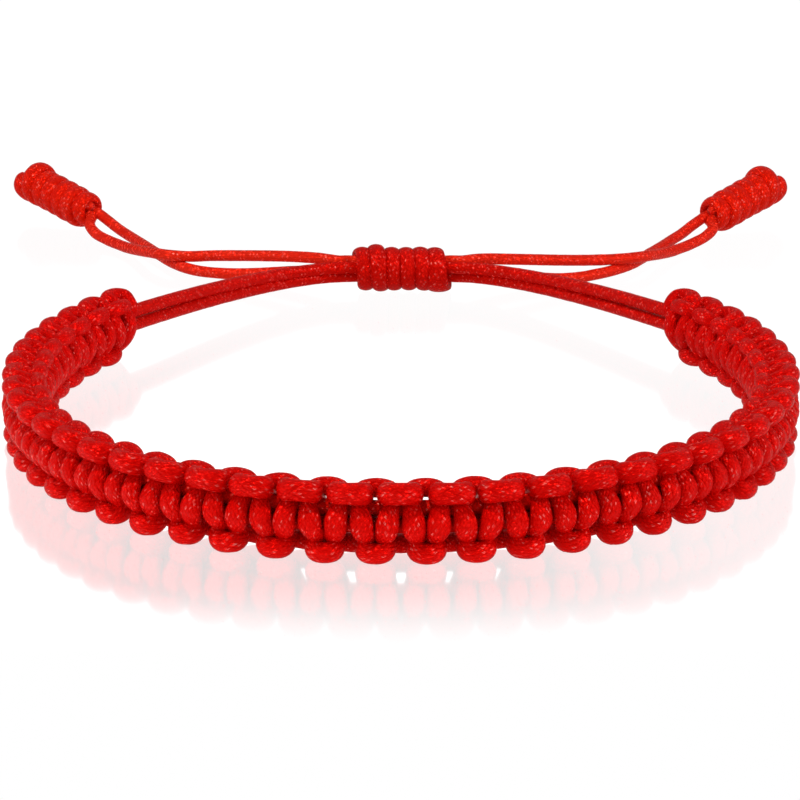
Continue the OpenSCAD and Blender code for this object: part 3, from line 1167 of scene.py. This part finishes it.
@dataclass
class TailPair:
    """Two tails that leave one mouth of the slide knot, and the end knot that holds them."""

    cord: RoundCord
    coil: Coil
    knot: SlideKnot
    side: Direction
    # The tails' and the wraps' nylon are both painted lighter, for the light that falls on the end knots and
    # tails.
    cord_finish: bpy.types.Material
    wrap_finish_painted_lighter: bpy.types.Material
    place: Vector
    heading: float
    upper_points: tuple[Point, ...]
    lower_points: tuple[Point, ...]
    seed: float
    lift: float = math.radians(8)
    lean: float = math.radians(10)
    radius: float = 0.57 * MM
    inner_radius: float = 0.53 * MM
    hidden_depths: tuple[float, ...] = (1.5 * MM, 0.75 * MM, 0.0)
    stub: float = 0.6 * MM
    gap: float = 0.05 * MM
    lead: float = 0.8 * MM
    length: float = 12.2 * MM
    tip: float = 0.6 * MM
    strand_inset: tuple[float, float] = (-0.3 * MM, -0.1 * MM)
    strand_offset: float = 0.72 * MM
    strand_steps: int = 4
    wrap: WrapSizes = WrapSizes(
        start=1.95 * MM, pitch=1.84 * MM, first_turn=-1.05, last_turn=5.42, radius=1.6 * MM,
        half_width=1.02 * MM, half_thickness=0.52 * MM, raised_turn=4.58, raised_by=0.4 * MM,
        slack_turn=-0.8, slack_by=-0.4 * MM)

    @property
    def word(self) -> str:
        """The side's name."""
        return self.side.name.lower()

    def _toward(self, forward: float, up: float) -> Vector:
        """A direction with so much of the end knot's heading and so much of upwards."""
        return Vector((math.cos(self.heading) * forward, math.sin(self.heading) * forward, up))

    def axis(self) -> Vector:
        """The direction of the end knot, from the tails to its tip."""
        return self._toward(math.cos(self.lift), math.sin(self.lift))

    def across(self) -> Vector:
        """The direction from the middle of the end knot to the lower tail's cord."""
        level = Vector((math.sin(self.heading), -math.cos(self.heading), 0)) * -self.side.value
        up = self._toward(-math.sin(self.lift), math.cos(self.lift))
        return level * math.cos(self.lean) + up * math.sin(self.lean)

    def route(self, upper: bool) -> list[Vector]:
        """The route of one tail.

        Args:
            upper: Whether it is the tail that leaves the slide knot on top.

        Returns:
            The points, in the object's frame.
        """
        angle = (self.knot.lower_angle() if upper else self.knot.upper_angle()) + math.pi
        hidden = [self.knot.inside(self.side, depth, angle) for depth in self.hidden_depths]
        out = Vector((self.side.value, 0, 0))
        start = hidden[-1] + out * self.stub
        over = -1 if upper else 1
        stop = self.place + over * self.inner_radius * self.across() - self.gap * self.axis()
        points = [Vector(p) * MM for p in (self.upper_points if upper else self.lower_points)]
        route = [*hidden, start, start + out * self.lead, *points, stop - self.lead * self.axis(), stop]
        return [p + OVAL_CENTRE for p in route]

    def build(self) -> None:
        """Makes the end knot and the two tails on it."""
        knot_piece = self._end_knot()
        for upper in (True, False):
            node = f"tail_{self.word}_{'upper' if upper else 'lower'}"
            route = self.route(upper)
            length = sum((b - a).length for a, b in zip(route, route[1:]))
            piece = self.cord.lay(node + "_braid", route, self.radius, self.cord_finish, self.seed + upper)
            put_in(piece, node)
            tuple(route[len(self.hidden_depths)])
            [tuple(p) for p in route]
            LOG.info("%s: %.1f mm long", piece.name, length / MM)

    def _end_knot(self) -> bpy.types.Object:
        """Makes the end knot: its wraps, the two tails inside them and the wrapping cord's own hidden ends.

        Returns:
            The wraps.
        """
        node = f"end_knot_{self.word}"
        wraps = self.coil.wind(node + "_wraps", self.wrap, self.wrap_finish_painted_lighter, self.place + OVAL_CENTRE,
                               Vector((0, -self.lift, self.heading)), self.side, self.seed)
        put_in(wraps, node)
        tail = self.across() * self.inner_radius
        beside = self.axis().cross(self.across()) * self.strand_offset
        first, last = self.strand_inset
        whole, inset = (0.0, self.length + self.tip), (first, self.length - last)
        for letter, offset, (begin, end) in (
            ("a", -tail, whole), ("b", tail, whole), ("c", -beside, inset), ("d", beside, inset),
        ):
            start = self.place + OVAL_CENTRE + offset
            shares = (i / self.strand_steps for i in range(self.strand_steps + 1))
            line = [start + self.axis() * (begin + (end - begin) * share) for share in shares]
            inner = self.cord.lay(f"{node}_cord_{letter}", line, self.radius, self.cord_finish,
                                  self.seed + ord(letter))
            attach(inner, BODY)
            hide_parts(node)
        return wraps


@dataclass(frozen=True)
class Lamp:
    """One soft lamp that faces the bracelet."""

    name: str
    place: Point
    width: float
    height: float
    radiance: float
    colour: Point = (1.0, 1.0, 1.0)

    def build(self) -> bpy.types.Object:
        """Makes the lamp.

        Returns:
            The lamp.
        """
        data = bpy.data.lights.new(self.name, "AREA")
        data.shape = "RECTANGLE"
        data.size = self.width
        data.size_y = self.height
        data.energy = self.radiance * math.pi * self.width * self.height
        data.color = self.colour
        lamp = linked(self.name, data)
        lamp.location = self.place
        lamp.rotation_euler = Vector(self.place).to_track_quat("Z", "Y").to_euler()
        return lamp


@dataclass
class Studio:
    """The camera, the lamps and the pale glossy surface."""

    camera_place: Point = (-0.00005, -0.21579, 0.0662)
    camera_tilt: float = math.radians(73)
    lens: float = 118.74
    nearest: float = 0.01
    floor_size: float = 6.0
    floor_gloss: float = 0.5
    floor_dimming: float = 0.3
    floor_roughness: float = 0.12
    floor_mirrored: float = 0.3
    gloss_fades: tuple[tuple[str, float, float, float, float], ...] = (
        ("Y", -0.056, -0.0425, 0.0, 1.0), ("Y", -0.03, 0.035, 1.0, 0.1), ("X", 0.0, 0.026, 1.0, 0.46),
    )
    world_strength: float = 0.275
    cards: tuple[Lamp, ...] = tuple(Lamp(name, place, 3.6, height, 1.05) for name, place, height in (
        ("card_behind", (0.0, 2.0, 0.62), 1.4), ("card_in_front", (0.0, -2.0, 0.62), 1.4),
        ("card_left", (-2.0, 0.0, 0.62), 1.4), ("card_right", (2.0, 0.0, 0.62), 1.4),
        ("card_above", (0.0, 0.0, 1.6), 3.6),
    ))
    lamps: tuple[Lamp, ...] = (
        Lamp("lamp_key", (-0.13, -0.10, 0.62), 0.045, 0.034, 480.0, (1.0, 0.97, 0.78)),
        Lamp("lamp_front", (0.15, -0.85, 0.36), 0.60, 0.60, 0.15),
        Lamp("lamp_left", (-0.88, -0.22, 0.40), 0.60, 0.60, 2.2),
        Lamp("lamp_right", (0.88, -0.22, 0.40), 0.60, 0.60, 3.8),
    )

    def build(self) -> None:
        """Makes the camera, then the rest."""
        self._camera()
        floor = self._floor()
        self._world()
        for lamp in self.lamps:
            lamp.build()
        only_floor = bpy.data.collections.new("lit_by_cards")
        only_floor.objects.link(floor)
        for card in self.cards:
            card.build().light_linking.receiver_collection = only_floor
        bpy.context.scene.view_settings.view_transform = "Standard"

    def _camera(self) -> None:
        """Makes the camera."""
        data = bpy.data.cameras.new("camera")
        data.lens = self.lens
        data.clip_start = self.nearest
        camera = linked("camera", data)
        camera.location = self.camera_place
        camera.rotation_euler = (self.camera_tilt, 0.0, 0.0)
        bpy.context.scene.camera = camera

    def _floor(self) -> bpy.types.Object:
        """Makes the surface, which glows as in a light tent and is glossiest under the band's front.

        Returns:
            The surface.
        """
        half = self.floor_size / 2
        mesh = bpy.data.meshes.new("surface")
        mesh.from_pydata([(-half, -half, 0), (half, -half, 0), (half, half, 0), (-half, half, 0)], [],
                         [(0, 1, 2, 3)])
        floor = linked("surface", mesh)
        material = bpy.data.materials.new("pale_gloss")
        material.use_nodes = True
        t = Tree(material.node_tree)
        t.nodes.remove(t.nodes["Principled BSDF"])
        axes = dict(zip("XYZ", t.out(t.node("ShaderNodeTexCoord"), "Object").parts()))
        share = 1.0
        for axis, low, high, before, after in self.gloss_fades:
            share = t.made("ShaderNodeMapRange", {
                "Value": axes[axis], "From Min": low, "From Max": high, "To Min": before, "To Max": after,
            }, interpolation_type="SMOOTHSTEP") * share
        mirrored = t.out(t.node("ShaderNodeLightPath"), "Is Glossy Ray")
        shown = (1.0 - share * self.floor_dimming) * (1.0 - mirrored * (1.0 - self.floor_mirrored))
        both = t.node("ShaderNodeAddShader")
        for socket, shader in zip(both.inputs, (
            t.made("ShaderNodeEmission", {"Strength": shown}),
            t.made("ShaderNodeBsdfGlossy", {
                "Color": share * self.floor_gloss, "Roughness": self.floor_roughness,
            }),
        )):
            t.feed(socket, shader)
        t.feed(t.nodes["Material Output"].inputs["Surface"], t.out(both))
        mesh.materials.append(material)
        return floor

    def _world(self) -> None:
        """Makes the even light all round, which looks white where the camera sees it."""
        world = bpy.data.worlds.new("studio")
        world.use_nodes = True
        t = Tree(world.node_tree)
        seen = t.out(t.node("ShaderNodeLightPath"), "Is Camera Ray")
        background = t.nodes["Background"].inputs
        t.feed(background["Color"], (1.0, 1.0, 1.0, 1.0))
        t.feed(background["Strength"], seen * (1.0 - self.world_strength) + self.world_strength)
        bpy.context.scene.world = world


# The points that the tails pass through are in millimetres from the oval's centre
LEFT_UPPER: tuple[Point, ...] = (
    (-8.2, 43.2, 3.0), (-10.8, 44.5, 2.85), (-13.5, 46.0, 2.55), (-16.3, 47.5, 2.2), (-19.1, 48.9, 1.85),
    (-21.6, 49.6, 1.6), (-24.0, 50.5, 1.55), (-25.8, 52.4, 1.35), (-27.2, 54.9, 0.95), (-28.5, 57.3, 0.6),
    (-29.9, 59.4, 0.52), (-31.3, 61.1, 0.65), (-32.5, 62.5, 0.95), (-33.3, 64.2, 1.45),
)
LEFT_LOWER: tuple[Point, ...] = (
    (-8.1, 43.4, 1.7), (-10.6, 44.4, 1.35), (-13.2, 45.4, 0.95), (-15.8, 46.2, 0.65), (-18.3, 46.9, 0.52),
    (-20.4, 47.8, 0.52), (-22.1, 49.4, 0.52), (-23.6, 51.7, 0.52), (-25.0, 54.6, 0.52), (-26.3, 57.4, 0.52),
    (-27.6, 60.1, 0.55), (-28.9, 62.5, 0.65), (-30.2, 64.4, 0.95), (-31.4, 65.9, 1.45),
)
RIGHT_UPPER: tuple[Point, ...] = (
    (8.2, 42.9, 3.0), (10.8, 43.6, 2.8), (13.5, 44.6, 2.5), (16.2, 45.8, 2.15), (18.8, 47.2, 1.8),
    (21.3, 48.3, 1.6), (23.7, 49.2, 1.55), (25.5, 51.0, 1.35), (26.9, 53.4, 0.95), (28.2, 55.8, 0.6),
    (29.6, 57.8, 0.52), (31.0, 59.5, 0.65), (32.3, 60.9, 0.95), (33.3, 62.5, 1.45),
)
RIGHT_LOWER: tuple[Point, ...] = (
    (8.0, 43.1, 1.7), (10.5, 43.6, 1.3), (13.0, 43.9, 0.9), (15.6, 44.3, 0.62), (17.9, 45.2, 0.52),
    (19.8, 46.5, 0.52), (21.6, 48.1, 0.52), (23.4, 50.3, 0.52), (24.8, 52.9, 0.52), (26.2, 55.8, 0.52),
    (27.5, 58.3, 0.55), (28.7, 60.6, 0.65), (30.0, 62.4, 0.95), (31.2, 63.9, 1.45),
)


def main() -> None:
    """Builds the bracelet, the camera and the stage, and reports each piece."""
    logging.basicConfig(level=logging.INFO, format="%(name)s: %(message)s")
    Studio().build()
    weave = BraidWeave()
    # The five finishes are the same red nylon, each painted lighter or darker to stand in for how the light
    # falls on its part: the tails, which are the core cords' own ends, and the end knots' wraps are painted
    # lighter; the slide knot and the core cords are painted darker than the knotting cords.
    knotting_finish = BraidedNylon("knotting_nylon", weave).make()
    core_finish = BraidedNylon("core_nylon", weave, yarns=9.0, stitch=0.4, seed=4.0, relief=0.042,
                               bright=(0.74, 0.0045, 0.0009), deep=(0.54, 0.0003, 0.0001)).make()
    tail_finish_painted_lighter = BraidedNylon("tail_nylon", weave, yarns=9.0, stitch=0.4, seed=4.0, relief=0.042,
                               bright=(0.94, 0.028, 0.009), deep=(0.76, 0.004, 0.0013)).make()
    slide_finish_painted_darker = BraidedNylon("slide_knot_nylon_painted_darker", weave, yarns=12.0, stitch=0.44, seed=7.0,
                                bright=(0.73, 0.004, 0.0008), deep=(0.48, 0.0002, 0.0001)).make()
    wrap_finish_painted_lighter = BraidedNylon("wrapping_nylon_painted_lighter", weave, yarns=12.0, stitch=0.44, seed=9.0,
                               bright=(0.88, 0.014, 0.0015), deep=(0.68, 0.0004, 0.0001)).make()
    skin = StrandSkin()
    cord = RoundCord(skin)
    coil = Coil(skin)
    oval = Oval()
    knot = SlideKnot(coil, slide_finish_painted_darker)
    for side, place, heading, upper, lower, seed in (
        (Direction.LEFT, (-33.5, 67.3, 2.05), 131, LEFT_UPPER, LEFT_LOWER, 11.0),
        (Direction.RIGHT, (33.4, 65.3, 2.05), 50, RIGHT_UPPER, RIGHT_LOWER, 21.0),
    ):
        TailPair(cord, coil, knot, side, tail_finish_painted_lighter, wrap_finish_painted_lighter, Vector(place) * MM,
                 math.radians(heading), upper, lower, seed).build()
    knot.build()
    band = KnottedBand(KnottingCord(skin, oval), knotting_finish)
    CoreCords(cord, oval, band, knot, core_finish).build()
    band.build()


if __name__ == "__main__":
    main()
